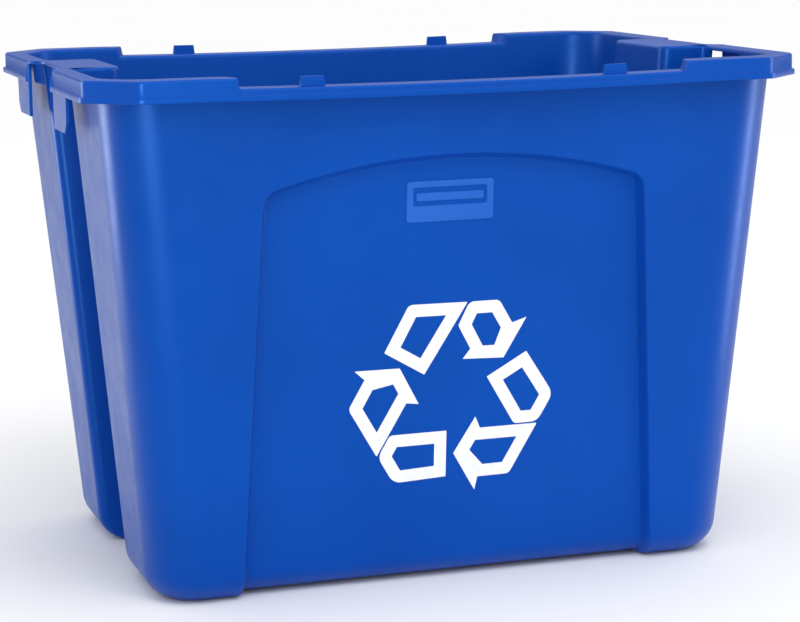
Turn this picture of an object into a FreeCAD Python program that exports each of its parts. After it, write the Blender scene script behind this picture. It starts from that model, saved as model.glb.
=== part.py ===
# Kerbside recycling box: one open plastic moulding with a printed recycling mark on its front panel.
# Millimetres. +X along the length, -Y is the printed front, +Z up.
# The origin is on the floor, below the centre of the box.
import FreeCAD, Part
import math
import os
from FreeCAD import Vector

# Overall size, over the bead of the rim.
LENGTH = 527.0
DEPTH = 406.0
HEIGHT = 375.0

# Tub: flat drafted walls, round upright corners, round bottom edge.
WALL = 2.6
END_HALF = 219.1
END_DRAFT = 0.081
FRONT_HALF = 151.2
FRONT_DRAFT = 0.0869
CORNER_RADIUS = 37.0
BOTTOM_RADIUS = 21.0
CORE_BOTTOM_RADIUS = 18.0

# The middle of the floor stands a little off the ground, so the box rests on a strip under each end.
FLOOR_LIFT = 2.0

# Upright channel in each end, between the corner posts.
CHANNEL_HALF = 47.0
CHANNEL_DEPTH = 36.0
CHANNEL_EDGE_RADIUS = 7.0

# Sunk arched panel in the front and in the back.
PANEL_DEPTH = 10.0
PANEL_HALF_BASE = 154.6
PANEL_NARROWING = 0.0545
PANEL_SHOULDER_Z = 291.0
PANEL_APEX_Z = 312.8
PANEL_WALL_RUN = 4.0
PANEL_WALL_Y = 163.0
PANEL_INNER_Y = 100.0
PANEL_OUTER_Y = 220.0

# Rim: a flange round the mouth, a hanging skirt and a bead along the foot of the skirt.
BEAD_PROUD = 2.0
BEAD_LOW_Z = 359.5
BEAD_HIGH_Z = 363.5
RIM_CHAMFER = 33.0
RIM_CORNER_RADIUS = 6.5
LOW_RIM_Z = 368.0
RAISED_FROM_X = 162.0
BEAD_GRIP = 1.0

# How far a cutting block runs past the stock that it cuts, so that no face of the two coincides.
MARGIN = 5.0

# Small stacking tabs on the low stretches of the rim.
TAB_X = 110.0
TAB_WIDTH = 17.0
TAB_THICK = 3.0
TAB_TOP_Z = 375.0
TAB_INSET = 4.0

# Hand-hold in each end: the skirt is missing and the flange is cut back.
GRIP_HALF = 54.0
GRIP_CUT = 10.0
SKIRT_CLEARANCE = 2.0
GUARD_OUTER = 104.0
GUARD_LOW_Z = 333.0
GUARD_CORNER = 8.0
GUARD_INNER_RADIUS = 3.0
GUARD_OUTER_RADIUS = 5.0
WINDOW_OUTER = 110.0
WINDOW_LOW_Z = 354.5
WINDOW_MARGIN = 1.0

# Raised name plate on the front panel, with plain bars in place of lettering.
PLATE_X = -3.0
PLATE_WIDTH = 64.5
PLATE_LOW = 267.0
PLATE_HIGH = 296.5
PLATE_RELIEF = 0.9
PLATE_RADIUS = 2.5
FIELD_RADIUS = 1.5
BAR_RADIUS = 1.0
FIELD_WIDTH = 55.0
FIELD_LOW = 278.5
FIELD_HIGH = 292.0
BAR_WIDTH = 50.0
BAR_LOW = 282.0
BAR_HIGH = 288.0

# Printed mark: three arrows turned by a third of a turn about one centre.
MARK_CENTRE_X = 1.0
MARK_CENTRE = 140.0
INK = 0.2
STROKE = 9.0


def front_half(z):
    return FRONT_HALF + FRONT_DRAFT * z


def end_half(z):
    return END_HALF + END_DRAFT * z


def rounded_wire(points, radii):
    """Closed outline through flat points in one plane, each corner rounded by its own radius."""
    edges = []
    ends = []
    count = len(points)
    for i in range(count):
        here = points[i]
        back = (points[i - 1] - here).normalize()
        ahead = (points[(i + 1) % count] - here).normalize()
        radius = radii[i]
        if radius <= 0:
            ends.append((here, here, None))
            continue
        half_angle = back.getAngle(ahead) / 2
        run = radius / math.tan(half_angle)
        middle = (back + ahead).normalize()
        centre = here + middle * (radius / math.sin(half_angle))
        ends.append((here + back * run, here + ahead * run, centre - middle * radius))
    for i in range(count):
        start, stop, crown = ends[i]
        if crown is not None:
            edges.append(Part.Arc(start, crown, stop).toShape())
        following = ends[(i + 1) % count][0]
        if stop.distanceToPoint(following) > 1e-6:
            edges.append(Part.LineSegment(stop, following).toShape())
    return Part.Wire(edges)


def rectangle_wire(half_x, half_y, z, radius):
    corners = [Vector(x * half_x, y * half_y, z) for x, y in ((-1, -1), (1, -1), (1, 1), (-1, 1))]
    return rounded_wire(corners, [radius] * 4)


def drafted_block(inset_x, inset_y, low_z, high_z, radius, bottom_radius):
    """The tub's plain tapering block, moved inwards by the insets, with its bottom edge rounded."""
    wires = []
    for z in (low_z, high_z):
        wires.append(rectangle_wire(end_half(z) - inset_x, front_half(z) - inset_y, z, radius))
    block = Part.makeLoft(wires, True, True)
    bottom_edges = [e for e in block.Edges if e.BoundBox.ZMax < low_z + 0.01]
    return block.makeFillet(bottom_radius, bottom_edges)


def panel_outline(y, grow):
    """Arched outline of the sunk panel in an upright plane, grown outwards on its sides and top."""
    low_z = -2 * MARGIN

    def half_width(z):
        return PANEL_HALF_BASE - PANEL_NARROWING * z + grow

    shoulder = PANEL_SHOULDER_Z + grow
    apex = PANEL_APEX_Z + grow
    chord = half_width(shoulder)
    left = Vector(-chord, y, shoulder)
    right = Vector(chord, y, shoulder)
    low_left = Vector(-half_width(low_z), y, low_z)
    low_right = Vector(half_width(low_z), y, low_z)
    arc = Part.Arc(left, Vector(0, y, apex), right).toShape()
    sides = [Part.LineSegment(right, low_right), Part.LineSegment(low_right, low_left)]
    sides.append(Part.LineSegment(low_left, left))
    return Part.Wire([arc] + [line.toShape() for line in sides])


def panel_cutter(side, inset):
    """What the sunk panel takes out of the wall: its side walls lean out towards the front."""
    slope = PANEL_WALL_RUN / PANEL_DEPTH
    wires = []
    for y in (PANEL_INNER_Y, PANEL_OUTER_Y):
        wires.append(panel_outline(side * y, inset + slope * (y - PANEL_WALL_Y)))
    return Part.makeLoft(wires, True, True)


def channel_cutter(side, inset, low_z, high_z):
    """Upright channel with rounded lips; it leans outwards with the end wall."""
    half = CHANNEL_HALF + inset
    face = end_half(low_z) - inset
    floor = face - CHANNEL_DEPTH
    lip = CHANNEL_EDGE_RADIUS - inset
    root = CHANNEL_EDGE_RADIUS + inset
    points = [
        Vector(side * (face + 2 * CHANNEL_DEPTH), half + lip, low_z),
        Vector(side * face, half + lip, low_z),
        Vector(side * face, half, low_z),
        Vector(side * floor, half, low_z),
    ]
    points += [Vector(p.x, -p.y, p.z) for p in reversed(points)]
    radii = [0, 0, lip - 0.001, root]
    outline = rounded_wire(points, radii + radii[::-1])
    lean = Vector(side * END_DRAFT * (high_z - low_z), 0, high_z - low_z)
    return Part.Face(outline).extrude(lean)


def tub_shape(inset, low_z, high_z):
    """The tub with its channels and sunk panels, moved inwards everywhere by the inset."""
    radius = CORNER_RADIUS - inset
    bottom = BOTTOM_RADIUS - inset
    shape = drafted_block(inset, inset, low_z, high_z, radius, bottom)
    core = drafted_block(inset, inset + PANEL_DEPTH, low_z, high_z, radius, CORE_BOTTOM_RADIUS - inset)
    for side in (-1, 1):
        shape = shape.cut(panel_cutter(side, inset).cut(core))
        shape = shape.cut(channel_cutter(side, inset, -MARGIN, high_z + MARGIN))
    return shape.cut(floor_relief(inset, low_z))


def floor_relief(inset, low_z):
    """The shallow step that lifts the middle of the floor off the ground."""
    half = PANEL_HALF_BASE + inset
    corner = Vector(-half, -DEPTH / 2, low_z - MARGIN)
    return Part.makeBox(2 * half, DEPTH, FLOOR_LIFT + MARGIN, corner)


def rim_outline(z, inset):
    """Eight-sided plan of the rim at one height, moved inwards by the inset."""
    half_x = LENGTH / 2 - inset
    half_y = DEPTH / 2 - inset
    cut = RIM_CHAMFER - inset * (2 - math.sqrt(2))
    quarter = [Vector(half_x, half_y - cut, z), Vector(half_x - cut, half_y, z)]
    points = list(quarter)
    points += [Vector(-p.x, p.y, z) for p in reversed(quarter)]
    points += [Vector(-p.x, -p.y, z) for p in quarter]
    points += [Vector(p.x, -p.y, z) for p in reversed(quarter)]
    return rounded_wire(points, [RIM_CORNER_RADIUS] * 8)


def rim_prism(low_z, high_z, inset):
    return Part.Face(rim_outline(low_z, inset)).extrude(Vector(0, 0, high_z - low_z))


def rim_cap(inset, top_drop):
    """Solid cap over the rim, with the low stretches of the front and back taken off its top."""
    cap = rim_prism(BEAD_LOW_Z, HEIGHT - top_drop, inset)
    half = RAISED_FROM_X + inset - BEAD_PROUD
    low_z = LOW_RIM_Z - top_drop
    trim_corner = Vector(-half, -DEPTH / 2 - MARGIN, low_z)
    return cap.cut(Part.makeBox(2 * half, DEPTH + 2 * MARGIN, HEIGHT, trim_corner))


def grip_cutter(side):
    """Takes the skirt away at the hand-hold and cuts the flange back in a shallow curve."""
    skirt_x = LENGTH / 2 - BEAD_PROUD
    low_z = BEAD_LOW_Z - MARGIN
    under = HEIGHT - WALL
    reach = WALL + 2 * MARGIN
    middle = side * (skirt_x - WALL + reach / 2 - SKIRT_CLEARANCE)
    slab = Part.makeBox(reach, 2 * GRIP_HALF, under - low_z, Vector(middle - reach / 2, -GRIP_HALF, low_z))
    edge = side * (skirt_x + MARGIN)
    bottom = side * (skirt_x - GRIP_CUT)
    points = [
        Vector(edge, GRIP_HALF, low_z),
        Vector(bottom, GRIP_HALF - GRIP_CUT, low_z),
        Vector(bottom, GRIP_CUT - GRIP_HALF, low_z),
        Vector(edge, -GRIP_HALF, low_z),
    ]
    upwards = Vector(0, 0, HEIGHT + MARGIN - low_z)
    bite = Part.Face(rounded_wire(points, [0, GRIP_CUT, GRIP_CUT, 0])).extrude(upwards)
    return slab.fuse(bite)


def guard_tab(side, half):
    """Flat tab that hangs from the skirt beside the hand-hold, its lower outer corner cut off."""
    x = side * (LENGTH / 2 - BEAD_PROUD)
    root_z = BEAD_HIGH_Z
    points = [
        Vector(x, half * GRIP_HALF, root_z),
        Vector(x, half * GRIP_HALF, GUARD_LOW_Z),
        Vector(x, half * (GUARD_OUTER - GUARD_CORNER), GUARD_LOW_Z),
        Vector(x, half * GUARD_OUTER, GUARD_LOW_Z + GUARD_CORNER),
        Vector(x, half * GUARD_OUTER, root_z),
    ]
    radii = [0, GUARD_INNER_RADIUS, GUARD_OUTER_RADIUS, GUARD_OUTER_RADIUS, 0]
    return Part.Face(rounded_wire(points, radii)).extrude(Vector(-side * WALL, 0, 0))


def bead():
    """Small square-edged band round the foot of the skirt."""
    ring = rim_prism(BEAD_LOW_Z, BEAD_HIGH_Z, 0.0)
    ring = ring.cut(rim_prism(BEAD_LOW_Z - MARGIN, BEAD_HIGH_Z + MARGIN, BEAD_PROUD + BEAD_GRIP))
    reach = 4 * MARGIN
    height = BEAD_HIGH_Z - BEAD_LOW_Z + 2 * MARGIN
    for side in (-1, 1):
        corner = Vector(side * LENGTH / 2 - reach / 2, -GRIP_HALF, BEAD_LOW_Z - MARGIN)
        ring = ring.cut(Part.makeBox(reach, 2 * GRIP_HALF, height, corner))
    return ring


def stacking_tab(side_x, side_y):
    low_z = LOW_RIM_Z - WALL / 2
    y = side_y * (DEPTH / 2 - BEAD_PROUD - TAB_INSET) - TAB_THICK / 2
    x = side_x * TAB_X - TAB_WIDTH / 2
    return Part.makeBox(TAB_WIDTH, TAB_THICK, TAB_TOP_Z - low_z, Vector(x, y, low_z))


def rim_shape(mouth):
    """Flange, skirt, bead, stacking tabs and guard tabs, open over the mouth of the tub."""
    rim = rim_cap(BEAD_PROUD, 0.0).cut(rim_cap(BEAD_PROUD + WALL, WALL)).cut(mouth)
    for side in (-1, 1):
        rim = rim.cut(grip_cutter(side))
    extras = [bead()]
    for side in (-1, 1):
        for half in (-1, 1):
            extras.append(guard_tab(side, half))
            extras.append(stacking_tab(half, side))
    return rim.fuse(extras)


def window_cutter(side, half):
    """Finger window through the end wall above one corner post, right under the flange."""
    low_y = CHANNEL_HALF + WALL + WINDOW_MARGIN
    reach = 6 * MARGIN
    middle = side * (end_half(HEIGHT) - 2 * MARGIN)
    height = HEIGHT - WALL - WINDOW_LOW_Z
    corner = Vector(middle - reach / 2, low_y, WINDOW_LOW_Z)
    window = Part.makeBox(reach, WINDOW_OUTER - low_y, height, corner)
    if half < 0:
        window = window.mirror(Vector(0, 0, 0), Vector(0, 1, 0))
    return window


def on_panel(points):
    """Lift flat (x, distance up the slope) points onto the face of the front panel."""
    lean = math.atan(FRONT_DRAFT)
    y0 = FRONT_HALF - PANEL_DEPTH
    return [Vector(x, -y0 - s * math.sin(lean), s * math.cos(lean)) for x, s in points]


def panel_plate(outline, radii, thickness):
    """Flat plate that lies on the front panel and stands out from it by the thickness."""
    lean = math.atan(FRONT_DRAFT)
    outward = Vector(0, -math.cos(lean), -math.sin(lean)) * thickness
    return Part.Face(rounded_wire(on_panel(outline), radii)).extrude(outward)


def bar(width, low, high, radius):
    """Rounded rectangle on the front panel, between two distances up the slope."""
    left = PLATE_X - width / 2
    right = PLATE_X + width / 2
    return panel_plate([(left, low), (right, low), (right, high), (left, high)], [radius] * 4, PLATE_RELIEF)


def name_plate():
    """Raised plate with a sunk field in its upper part, and a plain raised bar where lettering would be."""
    plate = bar(PLATE_WIDTH, PLATE_LOW, PLATE_HIGH, PLATE_RADIUS)
    field = bar(FIELD_WIDTH, FIELD_LOW, FIELD_HIGH, FIELD_RADIUS)
    return [plate.cut(field), bar(BAR_WIDTH, BAR_LOW, BAR_HIGH, BAR_RADIUS)]


# One arrow of the mark, pointing clockwise over the top: (x, up) from the mark's centre. Two of the arrows
# are folded one way, so their tail is rounded and their head starts in a point. The other is folded the
# other way. The window of each patch is its outline moved in by the stroke.
TAIL_POINTED = [(-51.5, 33.5), (-33.5, 67.5), (10.5, 67.0), (-21.5, 15.5)]
TAIL_POINTED_RADII = [0.6, 5.0, 0.6, 0.6]
TAIL_ROUNDED = [(-51.7, 34.8), (-33.5, 70.0), (-10.0, 70.0), (-0.8, 54.5), (-22.0, 17.4)]
TAIL_ROUNDED_RADII = [0.6, 10.0, 9.0, 4.0, 0.6]
HEAD_ROUNDED = [(3.7, 50.0), (12.0, 67.0), (34.5, 67.0), (46.0, 47.0), (37.5, 24.5), (17.0, 24.8)]
HEAD_ROUNDED_RADII = [2.0, 6.0, 5.0, 1.0, 0.6, 0.6]
HEAD_POINTED = [(-8.8, 70.5), (33.5, 70.5), (46.0, 49.5), (37.5, 24.5), (17.5, 25.0)]
HEAD_POINTED_RADII = [0.6, 5.0, 1.0, 0.6, 0.6]
# The barbs and the point of an arrow head, from its right barb round to its right shoulder.
HEAD_BARBS = [(55.5, 52.8), (38.5, 23.8), (7.5, 25.0), (13.5, 32.8), (43.5, 49.0)]


def turned(points, arrow):
    """A third of a turn clockwise for each arrow, then out to the mark's place on the panel."""
    angle = -arrow * math.radians(120)
    cos = math.cos(angle)
    sin = math.sin(angle)
    return [(x * cos - y * sin + MARK_CENTRE_X, x * sin + y * cos + MARK_CENTRE) for x, y in points]


def mark_piece(outline, radii, barbs, arrow):
    """One outlined patch of ink: the outline, less the same outline moved in by the stroke."""
    patch = panel_plate(turned(outline, arrow), radii, INK)
    if barbs:
        patch = patch.fuse(panel_plate(turned(barbs, arrow), [0] * len(barbs), INK)).removeSplitter()
    lean = math.atan(FRONT_DRAFT)
    outward = Vector(0, -math.cos(lean), -math.sin(lean)) * INK
    wire = rounded_wire(on_panel(turned(outline, arrow)), radii)
    window = Part.Face(wire).makeOffset2D(-STROKE, 2)
    return patch.cut(window.extrude(outward))


def front_print():
    """The six patches of ink by name. The first arrow is the one folded the other way."""
    pieces = {}
    for arrow in range(3):
        tail = (TAIL_ROUNDED, TAIL_ROUNDED_RADII) if arrow else (TAIL_POINTED, TAIL_POINTED_RADII)
        head = (HEAD_POINTED, HEAD_POINTED_RADII) if arrow else (HEAD_ROUNDED, HEAD_ROUNDED_RADII)
        pieces["arrow_%d_tail" % (arrow + 1)] = mark_piece(*tail, [], arrow)
        pieces["arrow_%d_head" % (arrow + 1)] = mark_piece(*head, HEAD_BARBS, arrow)
    return pieces


def box_body():
    outer = tub_shape(0.0, 0.0, HEIGHT - WALL / 2)
    inner = tub_shape(WALL, WALL, HEIGHT + 2 * MARGIN)
    rim = rim_shape(inner)
    trim_corner = Vector(-RAISED_FROM_X, -DEPTH / 2, LOW_RIM_Z - WALL / 2)
    over_low_rim = Part.makeBox(2 * RAISED_FROM_X, DEPTH, HEIGHT, trim_corner)
    body = outer.cut(inner).cut(over_low_rim)
    for side in (-1, 1):
        for half in (-1, 1):
            body = body.cut(window_cutter(side, half))
    return body.fuse([rim] + name_plate())


def main():
    os.makedirs("parts", exist_ok=True)
    shapes = {"box_body": box_body()}
    shapes.update(front_print())
    for node, shape in shapes.items():
        box = shape.optimalBoundingBox()
        print(node, shape.isValid(), round(shape.Volume, 1), len(shape.Solids), len(shape.Faces), box)
        shape.exportStep("parts/" + node + ".step")


main()
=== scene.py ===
"""Looks of a kerbside recycling box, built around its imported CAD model.

Everything is in metres in the CAD frame: +X along the length, -Y the printed front, +Z up,
with the origin on the floor below the centre of the box.
"""
import math

import bmesh
import bpy
import numpy as np
from mathutils import Matrix, Vector


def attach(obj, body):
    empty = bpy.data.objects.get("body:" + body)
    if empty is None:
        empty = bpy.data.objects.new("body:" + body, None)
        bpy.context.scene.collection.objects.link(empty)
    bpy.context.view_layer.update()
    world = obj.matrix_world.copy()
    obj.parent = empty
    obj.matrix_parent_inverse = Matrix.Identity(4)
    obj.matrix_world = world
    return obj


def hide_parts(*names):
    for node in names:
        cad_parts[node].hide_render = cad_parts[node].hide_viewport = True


MM = 0.001

# Tub.
WALL = 2.6 * MM
WALL_BEND = 345.0 * MM
WALL_HEAD = 372.0 * MM
END_HALF = 219.1 * MM
END_DRAFT = 0.081
FRONT_HALF = 151.2 * MM
FRONT_DRAFT = 0.0869
CORNER_RADIUS = 37.0 * MM
BOTTOM_RADIUS = 21.0 * MM
FLOOR_LIFT = 2.0 * MM
MOUTH_RADIUS = 2.5 * MM

# Channel in each end, and the finger windows above the posts beside it.
CHANNEL_HALF = 47.0 * MM
CHANNEL_DEPTH = 36.0 * MM
CHANNEL_EDGE = 7.0 * MM
CHANNEL_FOOT = 4.0 * MM
CHANNEL_EDGE_SHARE = 0.45
WINDOW_Y = (55.5 * MM, 110.0 * MM)
WINDOW_ROWS = (354.5, 370.8)

# Sunk arched panel.
PANEL_DEPTH = 10.0 * MM
PANEL_FOOT_RADIUS = 18.0 * MM
PANEL_HALF = 154.6 * MM
PANEL_NARROWING = 0.0545
PANEL_SHOULDER = 291.0 * MM
PANEL_APEX = 312.8 * MM
PANEL_EDGE_RUN = 5.0 * MM
PANEL_EDGE_ROUND = 0.25
PANEL_CORNER = 7.0 * MM
EDGE_OUTSIDE = 6.0 * MM
EDGE_INSIDE = 4.4 * MM

# Rim. Its outline is followed by a length q, from the middle of an end to the middle of the front.
RIM_X = 261.5 * MM
RIM_Y = 201.0 * MM
RIM_CHAMFER = 33.0 * MM
RIM_CORNER = 6.5 * MM
RIM_END = RIM_Y - RIM_CHAMFER
RIM_TURN = RIM_END + RIM_CHAMFER * math.sqrt(2)
RIM_REACH = RIM_TURN + RIM_X - RIM_CHAMFER
BEAD_PROUD = 2.0 * MM
BEAD_LOW = 359.5 * MM
BEAD_HIGH = 363.5 * MM
RIM_TOP = 375.0 * MM
RIM_LOW = 368.0 * MM
RAISED_FROM = 162.0 * MM
RIM_STEP_RUN = 1.8 * MM
RIM_EDGE = 2.0 * MM
RIM_EDGE_BARE = 1.0 * MM
TAB_X = 110.0 * MM
TAB_HALF = 8.5 * MM
TAB_STEP_RUN = 0.8 * MM
TAB_FRONT = 4.0 * MM
TAB_BACK = 7.0 * MM
TAB_SLOPE = 0.25 * MM
GRIP_HALF = 54.0 * MM
GRIP_CUT = 10.0 * MM
GRIP_RUN = 14.0 * MM
SKIRT_STEP_RUN = 0.4 * MM
GUARD_LOW = 333.0 * MM
GUARD_OUTER = 104.0 * MM
GUARD_CUT = 8.0 * MM

# Sag of the long sides of the rim: its depth, and where it starts and how far it takes to grow.
SAG = 1.6 * MM
SAG_HALF = 185.0 * MM
SAG_Y_FROM = 110.0 * MM
SAG_Y_RUN = 30.0 * MM
SAG_Z_FROM = 312.0 * MM
SAG_Z_RUN = 40.0 * MM

# Name plate on the panel. Each patch has its width, its foot and head up the slope, and its corner radius.
PLATE_X = -3.0 * MM
PLATE_RELIEF = 0.9 * MM
PLATE_EDGE = 0.35 * MM
FIELD_EDGE = 0.2 * MM
FIELD_FLOOR = 0.1 * MM
PLATE = (64.5 * MM, 267.0 * MM, 296.5 * MM, 2.5 * MM)
FIELD = (55.0 * MM, 278.5 * MM, 292.0 * MM, 1.5 * MM)
BAR = (50.0 * MM, 282.0 * MM, 288.0 * MM, 1.0 * MM)


def smooth(t):
    """Step from 0 to 1 that starts and ends level."""
    t = min(1.0, max(0.0, t))
    return t * t * (3 - 2 * t)


def in_metres(values):
    """The same lengths, given in millimetres, in metres."""
    return [v * MM for v in values]


def quarter_stations():
    """Stations round one quarter of the plan, from the middle of an end to the middle of the front.

    Each has a stretch of the tub wall, a place t along it, and a place q along the rim's outline.
    They are closest together where the wall turns, and where the rim has a step.
    """
    stations = []

    def add(stretch, ts, qs):
        for t, q in zip(ts, qs):
            stations.append((stretch, t, q * MM))

    def add_run(stretch, places, start, run):
        add(stretch, [(q - start) / run for q in places], places)

    add("back", np.arange(5) / 5, [0, 8, 16, 24, 31])
    add("root", np.arange(5) / 5, [38, 40, 42, 44, 45.5])
    add("side", np.arange(4) / 4, [47, 49, 51, 52.5])
    add("lip", np.arange(8) / 8, [53.4, 53.7, 53.9, 54.1, 54.3, 54.8, 55.6, 56.4])
    face = [57, 60, 68, 77, 86, 92, 96, 98, 100, 102, 103.5, 103.9, 104.3, 106, 109.4, 112, 118, 124, 129]
    add_run("face", face, start=57, run=76)
    turn = [RIM_CORNER * math.tan(math.pi / 8) * k / 3 / MM for k in range(-3, 4)]
    corner = [133, 138, 143, 148, 153, 158, 162, *[RIM_END / MM + d for d in turn], 174, 180, 186, 192]
    corner += [198, 204, 209, *[RIM_TURN / MM + d for d in turn], 221, 225, 230, 235, 240]
    add_run("corner", corner, start=133, run=111)
    front = [244, 250, 257, 264, 270, 274, 276.5, 278.3, 279.1, 279.6, 280.2, 280.8, 281.5, 282.2, 282.8]
    front += [283.4, 285, 288, 291, 295]
    add_run("front", front, start=244, run=54.5)
    reach = RIM_REACH / MM
    panel_edge = 138.7
    panel_run = 134.3
    edge = [6, 4.4, 3.4, 2.7, 2.2, 1.7, 1.2, 0.7, 0.2, -0.2, -0.7, -1.2, -1.7, -2.2, -2.7, -3.4, -4.4]
    add("edge", [e * MM for e in edge], [reach - panel_edge - e for e in edge])
    across = [133, 128, 123, 120, 118.95, 118.5, 118.05, 117, 110, 103, 101.95, 101.5, 101.05, 100, 95]
    across += [90, 80, 70, 60, 50, 40, 30, 20, 10, 0]
    add("panel", [a / panel_run for a in across], [reach - a for a in across])
    return stations


def rim_point(q):
    """Point and outward direction on a quarter of the rim's outline, with its two corners rounded."""
    half_run = RIM_CORNER * math.tan(math.radians(22.5))
    diagonal = Vector((1, 1)).normalized()
    for corner, first, second, vertex in (
        (RIM_END, Vector((1, 0)), diagonal, Vector((RIM_X, RIM_END))),
        (RIM_TURN, diagonal, Vector((0, 1)), Vector((RIM_X - RIM_CHAMFER, RIM_Y))),
    ):
        if abs(q - corner) < half_run:
            share = (q - corner + half_run) / (2 * half_run)
            start = math.atan2(first.y, first.x)
            angle = start + share * math.radians(45)
            normal = Vector((math.cos(angle), math.sin(angle)))
            middle = (first + second).normalized()
            centre = vertex - middle * (RIM_CORNER / math.cos(math.radians(22.5)))
            return centre + normal * RIM_CORNER, normal
    if q < RIM_END:
        return Vector((RIM_X, q)), Vector((1, 0))
    if q < RIM_TURN:
        along = (q - RIM_END) / math.sqrt(2)
        return Vector((RIM_X - along, RIM_END + along)), diagonal
    return Vector((RIM_REACH - q, RIM_Y)), Vector((0, 1))


def round_in(z, base, radius):
    """How far a rounded bottom edge lies inside the wall at height z."""
    rise = z - base
    if rise >= radius:
        return 0.0
    return radius - math.sqrt(max(0.0, radius ** 2 - (radius - rise) ** 2))


def arch_height(x, grow):
    """Height of the sunk panel's arched head at x, raised by grow."""
    chord = PANEL_HALF - PANEL_NARROWING * PANEL_SHOULDER
    rise = PANEL_APEX - PANEL_SHOULDER
    radius = (chord ** 2 + rise ** 2) / (2 * rise)
    x = min(abs(x), chord)
    return PANEL_APEX - radius + math.sqrt(radius ** 2 - x ** 2) + grow


def rounded_ramp(t):
    """Straight slope from 0 to 1 with a small round at its foot and at its head."""
    share = PANEL_EDGE_ROUND
    t = min(max(t, 0.0), 1.0)
    near = min(t, 1.0 - t)
    rise = near * near / (2.0 * share) if near < share else near - share / 2.0
    rise = rise / (1.0 - share)
    return rise if t < 0.5 else 1.0 - rise


def panel_sink(x, z, inset):
    """How far the sunk panel lies behind the wall at (x, z)."""
    inside_x = PANEL_HALF - PANEL_NARROWING * z + inset - abs(x)
    inside_z = arch_height(x, inset) - z
    inside = min(inside_x, inside_z)
    if inside_x < PANEL_CORNER and inside_z < PANEL_CORNER:
        inside = PANEL_CORNER - math.hypot(PANEL_CORNER - inside_x, PANEL_CORNER - inside_z)
    foot = round_in(z, inset, PANEL_FOOT_RADIUS - inset) - round_in(z, inset, BOTTOM_RADIUS - inset)
    return (PANEL_DEPTH + foot) * rounded_ramp(inside / PANEL_EDGE_RUN + 0.5)


def tub_point(stretch, t, z, inset):
    """Point (x, y) of the tub's wall in the first quarter of the plan, moved inwards by the inset."""
    tuck = round_in(z, inset, BOTTOM_RADIUS - inset)
    x_end = END_HALF + END_DRAFT * z - inset - tuck
    y_front = FRONT_HALF + FRONT_DRAFT * z - inset - tuck
    radius = CORNER_RADIUS - inset - tuck
    half = CHANNEL_HALF + inset
    x_back = END_HALF + END_DRAFT * z - inset - CHANNEL_DEPTH - round_in(z, inset, CHANNEL_FOOT)
    depth = x_end - x_back
    lip = min(CHANNEL_EDGE - inset, CHANNEL_EDGE_SHARE * depth)
    root = min(CHANNEL_EDGE + inset, CHANNEL_EDGE_SHARE * depth)
    if stretch == "back":
        return x_back, t * (half - root)
    if stretch == "root":
        a = t * math.pi / 2
        return x_back + root * (1 - math.cos(a)), half - root + root * math.sin(a)
    if stretch == "side":
        return x_back + root + t * (depth - root - lip), half
    if stretch == "lip":
        a = t * math.pi / 2
        return x_end - lip + lip * math.sin(a), half + lip * (1 - math.cos(a))
    if stretch == "face":
        return x_end, half + lip + t * (y_front - radius - half - lip)
    if stretch == "corner":
        a = t * math.pi / 2
        return x_end - radius * (1 - math.cos(a)), y_front - radius * (1 - math.sin(a))
    panel_half = PANEL_HALF - PANEL_NARROWING * min(z, PANEL_SHOULDER) + inset
    if stretch == "front":
        start = x_end - radius
        x = start + t * (panel_half + EDGE_OUTSIDE - start)
    elif stretch == "edge":
        x = panel_half + t
    else:
        x = t * (panel_half - EDGE_INSIDE)
    return x, y_front


def arch_follow(v):
    """How strongly a row of the wall follows the arch of the sunk panel."""
    low = 200 * MM
    high = 340 * MM
    near = 14 * MM
    if v < PANEL_SHOULDER - near:
        return max(0.0, (v - low) / (PANEL_SHOULDER - near - low))
    if v > PANEL_SHOULDER + near:
        return max(0.0, (high - v) / (high - PANEL_SHOULDER - near))
    return 1.0


def floor_lift(x, z, inset):
    """How far the middle of the floor stands above the level of the feet."""
    edge_run = 3 * MM
    fade = 25 * MM
    across = smooth((PANEL_HALF + inset - abs(x)) / edge_run + 0.5)
    return FLOOR_LIFT * across * (1 - smooth((z - inset) / fade))


def wall_point(stretch, t, v, inset, top):
    """Point (x, y, z) of the wall on the row at height v, its upper part fitted to the top."""
    z = v
    if v > WALL_BEND:
        z = WALL_BEND + (v - WALL_BEND) * (top - WALL_BEND) / (WALL_HEAD - WALL_BEND)
    x, y = tub_point(stretch, t, z, inset)
    if stretch in ("front", "edge", "panel"):
        z += arch_follow(v) * (arch_height(x, 0.0) - PANEL_SHOULDER)
        x, y = tub_point(stretch, t, z, inset)
        y -= panel_sink(x, z, inset)
        z += floor_lift(x, z, inset)
    return x, y, z


def rim_levels(q, x_rim):
    """Top of the rim, foot of the skirt, bead, inward cut and stacking tab at one place on the rim."""
    top = RIM_TOP
    if q > RIM_TURN:
        top = RIM_LOW + (RIM_TOP - RIM_LOW) * smooth((x_rim - RAISED_FROM) / RIM_STEP_RUN + 0.5)
    skirt = smooth((q - GRIP_HALF) / SKIRT_STEP_RUN + 0.5)
    foot = BEAD_LOW
    if q < GUARD_OUTER + SKIRT_STEP_RUN / 2:
        foot = GUARD_LOW + max(0.0, q - (GUARD_OUTER - GUARD_CUT))
        foot += (BEAD_LOW - foot) * smooth((q - GUARD_OUTER) / SKIRT_STEP_RUN + 0.5)
    cut = 0.0
    if q < GRIP_HALF:
        cut = GRIP_CUT * smooth((GRIP_HALF - q) / GRIP_RUN)
    tab = 0.0
    if q > RIM_TURN:
        tab = smooth((TAB_HALF - abs(x_rim - TAB_X)) / TAB_STEP_RUN + 0.5)
    return top, skirt, foot, cut, tab


def blend_points(first, second, share):
    """Points part of the way from the first profile to the second."""
    return [tuple(a + (b - a) * share for a, b in zip(p, q)) for p, q in zip(first, second)]


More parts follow.
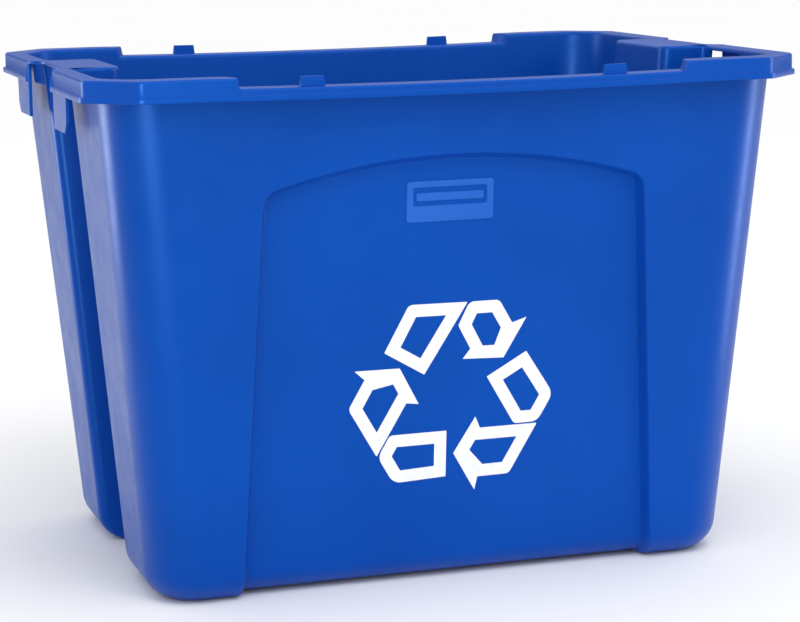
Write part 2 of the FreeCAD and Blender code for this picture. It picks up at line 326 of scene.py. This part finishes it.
def skirt_profile(top, foot):
    """Offsets and heights round the skirt and its bead, from the flange's underside to its top."""
    under = top - WALL
    guard = min(1.0, (BEAD_LOW - foot) / (2 * MM))
    points = [
        (-WALL - 1.5 * MM, under),
        (-WALL - 0.4 * MM, under - 0.3 * MM),
        (-WALL, under - 1.5 * MM),
        (-WALL, foot + 0.5 * MM),
        (-WALL + 0.5 * MM, foot),
        (-0.6 * MM, foot),
        (-0.1 * MM, foot + 0.5 * MM * guard),
        (0.15 * MM * (1 - guard), BEAD_LOW - 0.3 * MM * guard),
        (BEAD_PROUD - 0.6 * MM, BEAD_LOW),
        (BEAD_PROUD - 0.15 * MM, BEAD_LOW + 0.15 * MM),
        (BEAD_PROUD, BEAD_LOW + 0.6 * MM),
        (BEAD_PROUD, BEAD_HIGH - 0.9 * MM),
        (BEAD_PROUD - 0.25 * MM, BEAD_HIGH - 0.3 * MM),
        (BEAD_PROUD - 0.8 * MM, BEAD_HIGH),
        (0.3 * MM, BEAD_HIGH + 0.1 * MM),
        (0.0, BEAD_HIGH + 0.5 * MM),
    ]
    return points + rounded_edge(top, RIM_EDGE)


def rounded_edge(top, radius):
    """The rim's rounded top outer edge."""
    angles = [math.radians(22.5 * k) for k in range(5)]
    return [(-radius * (1 - math.cos(a)), top - radius * (1 - math.sin(a))) for a in angles]


def bare_profile(top):
    """The same number of points round the plain edge of the flange, where there is no skirt."""
    under = top - WALL
    points = [
        (-WALL - 1.5 * MM, under),
        (-WALL - 0.4 * MM, under),
        (-WALL, under),
        (-WALL + 0.5 * MM, under),
        (-1.2 * MM, under),
        (-0.6 * MM, under + 0.05 * MM),
        (-0.3 * MM, under + 0.15 * MM),
        (-0.1 * MM, under + 0.35 * MM),
        (0.0, under + 0.6 * MM),
    ]
    low = under + 0.6 * MM
    high = top - 1.1 * MM
    points += [(0.0, low + (high - low) * (k + 1) / 8) for k in range(7)]
    return points + rounded_edge(top, RIM_EDGE_BARE)


def rim_points(q):
    """Points (x, y, z) from under the flange, round the skirt and on to the flange's flat top."""
    place, out = rim_point(q)
    top, skirt, foot, cut, tab = rim_levels(q, place.x)
    profile = blend_points(bare_profile(top), skirt_profile(top, foot), skirt)
    rise = (RIM_TOP - top) * tab
    profile += [(-TAB_FRONT, top), (-TAB_FRONT - TAB_SLOPE, top + rise)]
    profile += [(TAB_SLOPE - TAB_BACK, top + rise), (-TAB_BACK, top)]
    edge = place - out * cut
    return top, [(edge.x + out.x * o, edge.y + out.y * o, z) for o, z in profile]


# Heights of the rows up the outside and down the inside, in millimetres, closest where the arch begins.
OUTER_ROWS = [34, 60, 90, 120, 150, 180, 210, 235, 255, 268, 276, 281, 284.5, 286.5, 287.8, 288.7, 289.3]
OUTER_ROWS += [289.9, 290.4, 290.9, 291.4, 291.9, 292.5, 293.1, 293.8, 294.8, 296.5, 300, 305, 313, 323]
OUTER_ROWS += [334, 345, 350, 354.5, 358, 362, 366.5, 370.8]
INNER_ROWS = [366.5, 362, 358, 354.5, 350, 345, 334, 323, 313, 305, 300, 296.5, 294.8, 293.8, 293.1, 292.3]
INNER_ROWS += [291.5, 290.7, 289.9, 289, 288, 286.5, 284.5, 281, 276, 268, 255, 235, 210, 180, 150, 120]
INNER_ROWS += [90, 60, 34]
FOOT_STEPS = 9


def foot_rows(inset):
    """Heights of the rows round the bottom edge, from the floor up."""
    radius = BOTTOM_RADIUS - inset
    angles = [k * math.pi / 2 / FOOT_STEPS for k in range(FOOT_STEPS + 1)]
    return [inset + radius * (1 - math.cos(a)) for a in angles]


def station_column(stretch, t, q):
    """All points of the moulding at one station: up the outside, round the rim and down the inside."""
    top, rim = rim_points(q)
    under = top - WALL
    column = [wall_point(stretch, t, v, 0.0, under) for v in foot_rows(0.0) + in_metres(OUTER_ROWS)]
    x, y, _ = wall_point(stretch, t, WALL_HEAD, 0.0, under)
    column.append((x, y, under))
    column.append(((x + rim[0][0]) / 2, (y + rim[0][1]) / 2, under))
    column += rim
    mouth = []
    for k in range(5):
        a = k * math.pi / 8
        inset = WALL - MOUTH_RADIUS * (1 - math.sin(a))
        z = top - MOUTH_RADIUS * (1 - math.cos(a))
        x, y = tub_point(stretch, t, z, inset)
        mouth.append((x, y, z))
    column.append(tuple((a + b) / 2 for a, b in zip(rim[-1], mouth[0])))
    column += mouth
    inner_top = top - MOUTH_RADIUS
    rows = in_metres([WINDOW_ROWS[1]] + INNER_ROWS) + foot_rows(WALL)[::-1]
    column += [wall_point(stretch, t, v, WALL, inner_top) for v in rows]
    return column


def sag(points):
    """The long sides of the rim hang down a little between the raised corners."""
    x, y, z = points.T
    middle = np.clip(1 - (x / SAG_HALF) ** 2, 0, 1)
    side = np.clip((np.abs(y) - SAG_Y_FROM) / SAG_Y_RUN, 0, 1)
    high = np.clip((z - SAG_Z_FROM) / SAG_Z_RUN, 0, 1)
    points[:, 2] -= SAG * middle * side * high
    return points


def plan_ring():
    """Columns of points and their stretches, once round the plan from the middle of the front."""
    quarter = quarter_stations()
    columns = [np.array(station_column(*s)) for s in quarter]
    kinds = [s[0] for s in quarter]
    flip_y = np.array([1.0, -1.0, 1.0])
    flip_x = np.array([-1.0, 1.0, 1.0])
    # The front right quarter comes first, then round by the back. The middle stations are shared.
    half = [c * flip_y for c in columns[::-1]] + columns[1:]
    half_kinds = kinds[::-1] + kinds[1:]
    ring = half + [c * flip_x for c in half[::-1]][1:-1]
    ring_kinds = half_kinds + half_kinds[::-1][1:-1]
    return ring, ring_kinds


def window_rows(rows):
    """Rows at the sill and head of the finger windows: outside low and high, inside high and low."""
    outer_low = FOOT_STEPS + 1 + OUTER_ROWS.index(WINDOW_ROWS[0])
    outer_high = FOOT_STEPS + 1 + OUTER_ROWS.index(WINDOW_ROWS[1])
    inner_high = rows - (FOOT_STEPS + 1) - len(INNER_ROWS) - 1
    inner_low = inner_high + 1 + INNER_ROWS.index(WINDOW_ROWS[0])
    return outer_low, outer_high, inner_high, inner_low


def window_gaps(ring, kinds, row):
    """For each column, whether a finger window lies between it and the next one."""
    y_low, y_high = WINDOW_Y
    gaps = []
    for i in range(len(ring)):
        j = (i + 1) % len(ring)
        y = [abs(ring[k][row][1]) for k in (i, j)]
        on_face = kinds[i] == "face" and kinds[j] == "face"
        gaps.append(on_face and min(y) > y_low and max(y) < y_high)
    return gaps


def window_faces(first, second, levels, opens, closes):
    """Sill and head of a finger window between two columns, and its sides where it opens and closes."""
    outer_low, outer_high, inner_high, inner_low = levels
    faces = [
        (first + outer_low, second + outer_low, second + inner_low, first + inner_low),
        (second + outer_high, first + outer_high, first + inner_high, second + inner_high),
    ]
    if opens:
        faces.append(window_side(first, levels))
    if closes:
        faces.append(window_side(second, levels)[::-1])
    return faces


def window_side(first, levels):
    """One upright side of a finger window, through the wall."""
    outer_low, outer_high, inner_high, inner_low = levels
    outer = range(first + outer_low, first + outer_high + 1)
    inner = range(first + inner_high, first + inner_low + 1)
    return (*outer, *inner)


def box_mesh():
    """The whole moulding as one closed mesh.

    Stations go round the plan. At each one the rows go up the outside, round the rim and down the inside.
    """
    ring, kinds = plan_ring()
    count = len(ring)
    rows = len(ring[0])
    levels = window_rows(rows)
    outer_low, outer_high, inner_high, inner_low = levels
    gaps = window_gaps(ring, kinds, outer_low)
    faces = []
    for i in range(count):
        j = (i + 1) % count
        for k in range(rows - 1):
            if gaps[i] and (outer_low <= k < outer_high or inner_high <= k < inner_low):
                continue
            faces.append((i * rows + k, j * rows + k, j * rows + k + 1, i * rows + k + 1))
        if gaps[i]:
            faces += window_faces(i * rows, j * rows, levels, not gaps[i - 1], not gaps[j])
    middle = kinds.index("front") + 2
    faces += floor_faces(count, middle, rows, 0, True)
    faces += floor_faces(count, middle, rows, rows - 1, False)
    return sag(np.concatenate(ring)), faces


def floor_faces(count, middle, rows, row, downward):
    """The floor: one face under each end, and between them one strip per station from front to back."""
    back = count // 2

    def index(r):
        return (r % count) * rows + row

    faces = [[index(r) for r in range(middle, back - middle + 1)]]
    faces.append([index(r) for r in range(back + middle, count - middle + 1)])
    for r in range(-middle, middle):
        faces.append([index(r), index(r + 1), index(back - r - 1), index(back - r)])
    return [tuple(f[::-1]) if downward else tuple(f) for f in faces]


def new_piece(name, points, faces):
    """Mesh object with outward faces, smooth but for its sharp edges."""
    sharp_degrees = 38.0
    mesh = bpy.data.meshes.new(name)
    mesh.from_pydata([tuple(p) for p in points], [], faces)
    shell = bmesh.new()
    shell.from_mesh(mesh)
    bmesh.ops.recalc_face_normals(shell, faces=shell.faces)
    shell.to_mesh(mesh)
    shell.free()
    mesh.polygons.foreach_set("use_smooth", [True] * len(mesh.polygons))
    mesh.set_sharp_from_angle(angle=math.radians(sharp_degrees))
    mesh.update()
    piece = bpy.data.objects.new(name, mesh)
    bpy.context.scene.collection.objects.link(piece)
    return piece


def patch_loop(size, grow, rise):
    """Points round a rectangle with rounded corners on the front panel, grown outwards and raised."""
    width, low, high, radius = size
    lean = math.atan(FRONT_DRAFT)
    half_x = width / 2 + grow
    half_s = (high - low) / 2 + grow
    radius = radius + grow
    loop = []
    for corner, (side_x, side_s) in enumerate(((1, 1), (-1, 1), (-1, -1), (1, -1))):
        for k in range(5):
            a = (corner + k / 4) * math.pi / 2
            x = PLATE_X + side_x * (half_x - radius) + radius * math.cos(a)
            s = (low + high) / 2 + side_s * (half_s - radius) + radius * math.sin(a)
            y = -(FRONT_HALF - PANEL_DEPTH) - s * math.sin(lean) - rise * math.cos(lean)
            loop.append((x, y, s * math.cos(lean) - rise * math.sin(lean)))
    return loop


def stack_mesh(loops):
    """Closed mesh through a stack of loops, from its base loop to the loop that its last face fills."""
    count = len(loops[0])
    points = [p for loop in loops for p in loop]
    faces = [tuple(range(count))]
    for level in range(len(loops) - 1):
        for i in range(count):
            j = (i + 1) % count
            base = level * count
            faces.append((base + j, base + i, base + count + i, base + count + j))
    faces.append(tuple(range(len(points) - count, len(points)))[::-1])
    return points, faces


def plate_meshes():
    """The name plate with its sunk field, and the plain bar that stands in the field."""
    top = PLATE_RELIEF
    edge = PLATE_EDGE
    plate = [patch_loop(PLATE, 0.0, -edge), patch_loop(PLATE, 0.0, top - edge)]
    plate += [patch_loop(PLATE, -edge, top), patch_loop(FIELD, FIELD_EDGE, top)]
    plate += [patch_loop(FIELD, 0.0, top - FIELD_EDGE), patch_loop(FIELD, -edge, FIELD_FLOOR)]
    bar = [patch_loop(BAR, 0.0, -edge), patch_loop(BAR, 0.0, top - edge), patch_loop(BAR, -edge, top)]
    return stack_mesh(plate), stack_mesh(bar)


# Materials. Each plastic has a deep and a light colour, which its clouds mix.
BLUE_DEEP = (0.0005, 0.054, 0.35)
BLUE_LIGHT = (0.0008, 0.062, 0.39)
PLATE_DEEP = (0.016, 0.106, 0.49)
PLATE_LIGHT = (0.022, 0.121, 0.53)
BLUE_TINT = (0.12, 0.35, 0.9, 1.0)
INK_DEEP = (0.80, 0.83, 0.88)
INK_LIGHT = (0.90, 0.91, 0.93)
FLOOR_DEEP = (0.885, 0.885, 0.885)
FLOOR_LIGHT = (0.895, 0.895, 0.895)


def new_material(name):
    """A node material, its node tree and its shader."""
    material = bpy.data.materials.new(name)
    material.use_nodes = True
    tree = material.node_tree
    shader = tree.nodes["Principled BSDF"]
    return material, tree, shader


def noise(tree, scale, detail, roughness=0.5):
    """Noise fixed to the object, from 0 to 1."""
    node = tree.nodes.new("ShaderNodeTexNoise")
    node.inputs["Scale"].default_value = scale
    node.inputs["Detail"].default_value = detail
    node.inputs["Roughness"].default_value = roughness
    place = tree.nodes.new("ShaderNodeTexCoord")
    tree.links.new(place.outputs["Object"], node.inputs["Vector"])
    return node.outputs["Fac"]


def remap(tree, value, from_low, from_high, to_low=0.0, to_high=1.0):
    """A value moved from one range to another, and kept inside it."""
    node = tree.nodes.new("ShaderNodeMapRange")
    node.inputs["From Min"].default_value = from_low
    node.inputs["From Max"].default_value = from_high
    node.inputs["To Min"].default_value = to_low
    node.inputs["To Max"].default_value = to_high
    tree.links.new(value, node.inputs["Value"])
    return node.outputs["Result"]


def mix_colour(tree, share, first, second):
    """Mix of two fixed colours by a share from 0 to 1."""
    node = tree.nodes.new("ShaderNodeMix")
    node.data_type = "RGBA"
    node.inputs[6].default_value = (*first, 1.0)
    node.inputs[7].default_value = (*second, 1.0)
    tree.links.new(share, node.inputs[0])
    return node.outputs[2]


def bump(tree, shader, heights):
    """Chain of bump nodes: each height is (socket, strength, distance)."""
    normal = None
    for height, strength, distance in heights:
        node = tree.nodes.new("ShaderNodeBump")
        node.inputs["Strength"].default_value = strength
        node.inputs["Distance"].default_value = distance
        tree.links.new(height, node.inputs["Height"])
        if normal is not None:
            tree.links.new(normal, node.inputs["Normal"])
        normal = node.outputs["Normal"]
    tree.links.new(normal, shader.inputs["Normal"])


def blue_plastic(name, deep, light):
    """Blue polyethylene: faint flow clouds, a fine satin grain, soft scuffs and a smooth sheen."""
    material, tree, shader = new_material(name)
    cloud = remap(tree, noise(tree, scale=7.0, detail=2.0), 0.35, 0.65)
    colour = mix_colour(tree, cloud, deep, light)
    tree.links.new(colour, shader.inputs["Base Color"])
    scuffs = noise(tree, scale=45.0, detail=4.0, roughness=0.6)
    roughness = remap(tree, scuffs, 0.3, 0.7, to_low=0.32, to_high=0.42)
    tree.links.new(roughness, shader.inputs["Roughness"])
    shader.inputs["IOR"].default_value = 1.5
    shader.inputs["Specular Tint"].default_value = BLUE_TINT
    waves = noise(tree, scale=26.0, detail=2.0)
    grain = noise(tree, scale=900.0, detail=2.0)
    bump(tree, shader, [(waves, 0.08, 0.002), (grain, 0.04, 0.0002)])
    return material


def white_ink():
    """White print: slightly uneven cover, a satin sheen and a fine tooth."""
    material, tree, shader = new_material("white_ink")
    cloud = remap(tree, noise(tree, scale=160.0, detail=4.0), 0.3, 0.7)
    colour = mix_colour(tree, cloud, INK_DEEP, INK_LIGHT)
    tree.links.new(colour, shader.inputs["Base Color"])
    patches = noise(tree, scale=300.0, detail=3.0)
    roughness = remap(tree, patches, 0.3, 0.7, to_low=0.40, to_high=0.55)
    tree.links.new(roughness, shader.inputs["Roughness"])
    tooth = noise(tree, scale=1800.0, detail=2.0)
    bump(tree, shader, [(tooth, 0.08, 0.0001)])
    return material


def pale_floor():
    """Matt near-white floor with the faintest variation."""
    material, tree, shader = new_material("pale_floor")
    cloud = remap(tree, noise(tree, scale=1.2, detail=2.0), 0.3, 0.7)
    colour = mix_colour(tree, cloud, FLOOR_DEEP, FLOOR_LIGHT)
    tree.links.new(colour, shader.inputs["Base Color"])
    shader.inputs["Roughness"].default_value = 0.9
    shader.inputs["Specular IOR Level"].default_value = 0.0
    return material


# Setting.
STUDIO_HALF = 30.0
WORLD_DIM = (0.12, 0.14, 0.18)
WORLD_WHITE = (1.0, 1.0, 1.0)
WORLD_STRENGTH = 1.16


def make_floor():
    """Pale floor that reaches past the view on every side."""
    points = [(x * STUDIO_HALF, y * STUDIO_HALF, 0.0) for x, y in ((-1, -1), (1, -1), (1, 1), (-1, 1))]
    floor = new_piece("studio_floor", points, [(0, 1, 2, 3)])
    floor.data.materials.append(pale_floor())


def make_world():
    """White all round, but for a dim band low down behind the box."""
    world = bpy.data.worlds.new("studio")
    world.use_nodes = True
    tree = world.node_tree
    background = tree.nodes["Background"]
    direction = tree.nodes.new("ShaderNodeTexCoord")
    split = tree.nodes.new("ShaderNodeSeparateXYZ")
    tree.links.new(direction.outputs["Generated"], split.inputs["Vector"])
    above = remap(tree, split.outputs["Z"], from_low=0.12, from_high=0.5)
    in_front = remap(tree, split.outputs["Y"], from_low=0.1, from_high=-0.3)
    lit = tree.nodes.new("ShaderNodeMath")
    lit.operation = "MAXIMUM"
    tree.links.new(above, lit.inputs[0])
    tree.links.new(in_front, lit.inputs[1])
    colour = mix_colour(tree, lit.outputs["Value"], WORLD_DIM, WORLD_WHITE)
    tree.links.new(colour, background.inputs["Color"])
    background.inputs["Strength"].default_value = WORLD_STRENGTH
    bpy.context.scene.world = world


def area_light(name, azimuth, distance, height, size, power, elevation=0):
    """Soft light that the camera doesn't see, facing a point at the given height above the origin.

    Distance is measured from that point. Azimuth 0 is in front, and +90 to the right.
    """
    light = bpy.data.lights.new(name, "AREA")
    light.shape = "RECTANGLE"
    light.size, light.size_y = size
    light.energy = power
    lamp = bpy.data.objects.new(name, light)
    a = math.radians(azimuth)
    e = math.radians(elevation)
    away = Vector((math.sin(a) * math.cos(e), -math.cos(a) * math.cos(e), math.sin(e)))
    lamp.location = Vector((0.0, 0.0, height)) + away * distance
    lamp.rotation_mode = "QUATERNION"
    lamp.rotation_quaternion = away.to_track_quat("Z", "Y")
    lamp.visible_camera = False
    bpy.context.scene.collection.objects.link(lamp)
    return lamp


def make_lights():
    """One soft key, and three strips that are only there to be mirrored in the rounded corners."""
    area_light("key_softbox", 4, 2.4, 0.2, (1.2, 1.2), power=14.0, elevation=52)
    strips = [
        area_light("right_strip", 68, 0.8, 0.5, (0.12, 1.0), power=5.0),
        area_light("left_strip", -27, 1.2, 0.42, (0.35, 0.6), power=16.0),
        area_light("left_back_strip", -117, 1.2, 0.42, (0.35, 0.8), power=10.0),
    ]
    for strip in strips:
        strip.visible_diffuse = False


CAMERA_YAW = -17.58
CAMERA_PITCH = 9.306
CAMERA_ROLL = -0.961
CAMERA_DISTANCE = 1.8692
CAMERA_AIM = (0.0104, 0.0, 0.1887)
CAMERA_LENS = 108.45
CAMERA_SENSOR = 36.0
CAMERA_SHIFT = (0.0018, -0.0228)


def make_camera():
    """Camera on a sphere about its aim point, turned by yaw, pitch and roll."""
    yaw = math.radians(CAMERA_YAW)
    pitch = math.radians(CAMERA_PITCH)
    roll = math.radians(CAMERA_ROLL)
    back = Vector((math.sin(yaw) * math.cos(pitch), -math.cos(yaw) * math.cos(pitch), math.sin(pitch)))
    flat_right = Vector((math.cos(yaw), math.sin(yaw), 0.0))
    flat_up = back.cross(flat_right)
    right = flat_right * math.cos(roll) + flat_up * math.sin(roll)
    up = flat_up * math.cos(roll) - flat_right * math.sin(roll)
    place = Vector(CAMERA_AIM) + back * CAMERA_DISTANCE
    data = bpy.data.cameras.new("camera")
    data.lens = CAMERA_LENS
    data.sensor_width = CAMERA_SENSOR
    data.shift_x, data.shift_y = CAMERA_SHIFT
    camera = bpy.data.objects.new("camera", data)
    camera.matrix_world = Matrix.Translation(place) @ Matrix((right, up, back)).transposed().to_4x4()
    bpy.context.scene.collection.objects.link(camera)
    bpy.context.scene.camera = camera


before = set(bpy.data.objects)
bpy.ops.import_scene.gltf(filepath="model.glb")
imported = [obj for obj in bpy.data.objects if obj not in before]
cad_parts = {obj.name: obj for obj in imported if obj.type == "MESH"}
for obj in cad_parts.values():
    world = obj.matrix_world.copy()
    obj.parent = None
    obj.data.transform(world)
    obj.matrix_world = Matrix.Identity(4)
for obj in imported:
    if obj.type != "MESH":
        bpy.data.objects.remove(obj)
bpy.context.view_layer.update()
bpy.context.scene.view_settings.view_transform = "Standard"

plastic = blue_plastic("blue_polyethylene", BLUE_DEEP, BLUE_LIGHT)
plate_face = blue_plastic("blue_polyethylene_plate", PLATE_DEEP, PLATE_LIGHT)
points, faces = box_mesh()
box = new_piece("moulded_box", points, faces)
box.data.materials.append(plastic)
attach(box, "root")
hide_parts("box_body")
for name, (points, faces) in zip(("name_plate", "name_plate_bar"), plate_meshes()):
    piece = new_piece(name, points, faces)
    piece.data.materials.append(plate_face)
    piece.data.materials.append(plastic)
    if name == "name_plate":
        # The floor of the sunk field has the box's own colour.
        piece.data.polygons[len(faces) - 1].material_index = 1
    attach(piece, "root")

ink = white_ink()
for name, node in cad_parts.items():
    if name != "box_body":
        node.data.materials.clear()
        node.data.materials.append(ink)

make_floor()
make_world()
make_lights()
make_camera()
